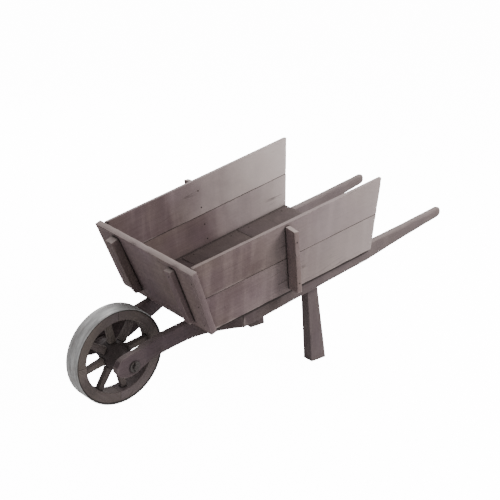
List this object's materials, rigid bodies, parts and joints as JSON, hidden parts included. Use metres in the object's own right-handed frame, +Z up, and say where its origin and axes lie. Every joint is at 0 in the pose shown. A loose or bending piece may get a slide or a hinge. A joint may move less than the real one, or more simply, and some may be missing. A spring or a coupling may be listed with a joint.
{
  "type": "wheelbarrow",
  "caption": "Wooden barrow: a spoked, iron-tyred wheel held between curved arms, an open-backed plank tray on two straight shafts that end in grips, and two legs.",
  "frame": {"origin": "on the ground, under the middle of the part's bounding box", "axes": "+X from the wheel towards the handles, +Y to the right of someone who stands between the handles and faces the wheel, +Z up"},
  "size_m": [1.8122, 0.7699, 0.8227],
  "materials": {
    "tray_wood": "bare, weathered grey-brown",
    "frame_wood": "bare, weathered, worn edges",
    "floor_wood": "bare, dark and dirty",
    "wheel_wood": "bare, dark",
    "iron": "forged, dull and lightly rusted",
    "tyre_iron": "forged band, worn grey on the tread"
  },
  "bodies": {
    "frame": {"left_shaft": "frame_wood", "right_shaft": "frame_wood", "left_arm": "frame_wood", "right_arm": "frame_wood", "left_leg": "frame_wood", "right_leg": "frame_wood", "floor_plank_1": "floor_wood", "floor_plank_2": "floor_wood", "floor_plank_3": "floor_wood", "left_side_lower_board": "tray_wood", "left_side_upper_board": "tray_wood", "right_side_lower_board": "tray_wood", "right_side_upper_board": "tray_wood", "left_side_batten": "frame_wood", "right_side_batten": "frame_wood", "front_board": "tray_wood", "front_batten_left": "frame_wood", "front_batten_right": "frame_wood"},
    "wheel": {"axle": "iron", "axle_washer_left": "iron", "axle_washer_right": "iron", "linch_pin_left": "iron", "linch_pin_right": "iron", "wheel_tyre": "tyre_iron", "wheel_hub": "wheel_wood", "wheel_felloe_1": "wheel_wood", "wheel_felloe_2": "wheel_wood", "wheel_felloe_3": "wheel_wood", "wheel_felloe_4": "wheel_wood", "wheel_spoke_1": "wheel_wood", "wheel_spoke_2": "wheel_wood", "wheel_spoke_3": "wheel_wood", "wheel_spoke_4": "wheel_wood", "wheel_spoke_5": "wheel_wood", "wheel_spoke_6": "wheel_wood", "wheel_spoke_7": "wheel_wood", "wheel_spoke_8": "wheel_wood"}
  },
  "joints": [
    {"name": "wheel_spin", "type": "hinge", "parent": "frame", "child": "wheel", "pos_m": [-0.6911, 0, 0.215], "axis": [0, 1, 0], "continuous": true}
  ]
}
